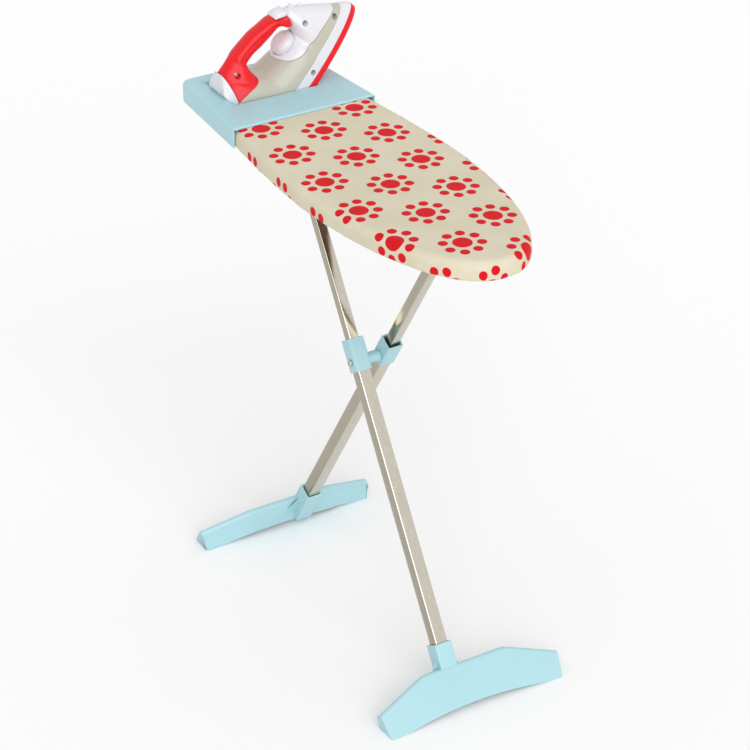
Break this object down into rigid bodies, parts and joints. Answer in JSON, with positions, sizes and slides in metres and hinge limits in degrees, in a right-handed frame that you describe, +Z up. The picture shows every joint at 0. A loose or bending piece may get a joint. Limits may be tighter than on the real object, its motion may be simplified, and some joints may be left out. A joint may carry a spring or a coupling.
{
  "type": "toy ironing board",
  "caption": "Toy ironing board with a padded patterned top, a tray that holds a toy iron in a slot, and crossed square-tube legs that fold on moulded feet.",
  "frame": {"origin": "on the floor under the middle of the whole object, which is the middle of the board", "axes": "+X along the board to its round nose, +Y to the side that the iron's sole faces, +Z up"},
  "size_m": [0.575, 0.244, 0.6948],
  "materials": {
    "blue_plastic": "pale blue moulded plastic with a soft sheen",
    "dark_plastic": "black moulded plastic",
    "chrome": "bright plated tube",
    "screw_steel": "zinc-plated steel",
    "zinc": "pressed galvanised sheet",
    "hardboard": "brown pressed fibreboard",
    "foam": "open-cell foam",
    "fabric": "beige cotton with a red print of dots",
    "red_plastic": "bright red moulded plastic",
    "white_plastic": "white moulded plastic",
    "grey_plastic": "warm grey moulded plastic"
  },
  "bodies": {
    "board": {"deck_board": "hardboard", "foam_pad": "foam", "fabric_cover": "fabric", "iron_rest_tray": "blue_plastic", "tray_screw_left": "screw_steel", "tray_screw_right": "screw_steel", "hinge_bracket": "zinc", "hinge_bracket_screw_left": "screw_steel", "hinge_bracket_screw_right": "screw_steel", "hinge_rivet": "screw_steel", "guide_rail": "zinc", "guide_rail_screw_left": "screw_steel", "guide_rail_screw_right": "screw_steel"},
    "front_leg": {"front_leg_upper_tube": "chrome", "front_leg_lower_tube": "chrome", "front_leg_collar": "blue_plastic", "front_leg_eye": "blue_plastic", "front_foot": "blue_plastic", "front_foot_plug": "dark_plastic", "front_foot_screw": "screw_steel", "pivot_bolt": "chrome", "pivot_nut": "screw_steel", "pivot_spacer": "blue_plastic"},
    "back_leg": {"back_leg_upper_tube": "chrome", "back_leg_lower_tube": "chrome", "back_leg_collar": "blue_plastic", "back_leg_eye": "blue_plastic", "back_foot": "blue_plastic", "back_foot_plug": "dark_plastic", "back_foot_screw": "screw_steel", "runner_pin": "screw_steel", "runner_shoe_left": "dark_plastic", "runner_shoe_right": "dark_plastic"},
    "iron": {"iron_sole_plate": "red_plastic", "iron_skirt_left": "white_plastic", "iron_skirt_right": "white_plastic", "iron_body_left": "grey_plastic", "iron_body_right": "grey_plastic", "iron_hood_left": "white_plastic", "iron_hood_right": "white_plastic", "iron_handle_left": "red_plastic", "iron_handle_right": "red_plastic", "iron_heel_cap": "white_plastic", "iron_spray_nozzle": "white_plastic", "iron_handle_screw": "screw_steel", "iron_hood_screw": "screw_steel", "iron_body_screw": "screw_steel", "iron_skirt_screw": "screw_steel"},
    "dial": {"iron_dial": "white_plastic"},
    "steam_button": {"iron_steam_button": "white_plastic"},
    "spray_button": {"iron_spray_button": "white_plastic"}
  },
  "joints": [
    {"name": "front_leg_fold", "type": "hinge", "parent": "board", "child": "front_leg", "pos_m": [-0.12116, 0, 0.5715], "axis": [0, -1, 0], "range_deg": [0, 52]},
    {"name": "back_leg_fold", "type": "hinge", "parent": "front_leg", "child": "back_leg", "pos_m": [0.0165, 0, 0.3512], "axis": [0, 1, 0], "range_deg": [0, 104]},
    {"name": "iron_lift", "type": "slide", "parent": "board", "child": "iron", "axis": [0, 0, 1], "range_m": [0, 0.12]},
    {"name": "dial_turn", "type": "hinge", "parent": "iron", "child": "dial", "pos_m": [-0.22825, 0.02325, 0.64926], "axis": [0, -0.7071, 0.7071], "range_deg": [-135, 135]},
    {"name": "steam_press", "type": "slide", "parent": "iron", "child": "steam_button", "axis": [0, 0.7071, -0.7071], "range_m": [0, 0.0015], "stiffness_N_per_m": 400, "springref_m": -0.0005},
    {"name": "spray_press", "type": "slide", "parent": "iron", "child": "spray_button", "axis": [0, 0.7071, -0.7071], "range_m": [0, 0.0015], "stiffness_N_per_m": 400, "springref_m": -0.0005}
  ],
  "couplings": [
    {"joint": "back_leg_fold", "follows": "front_leg_fold", "ratio": 2}
  ]
}
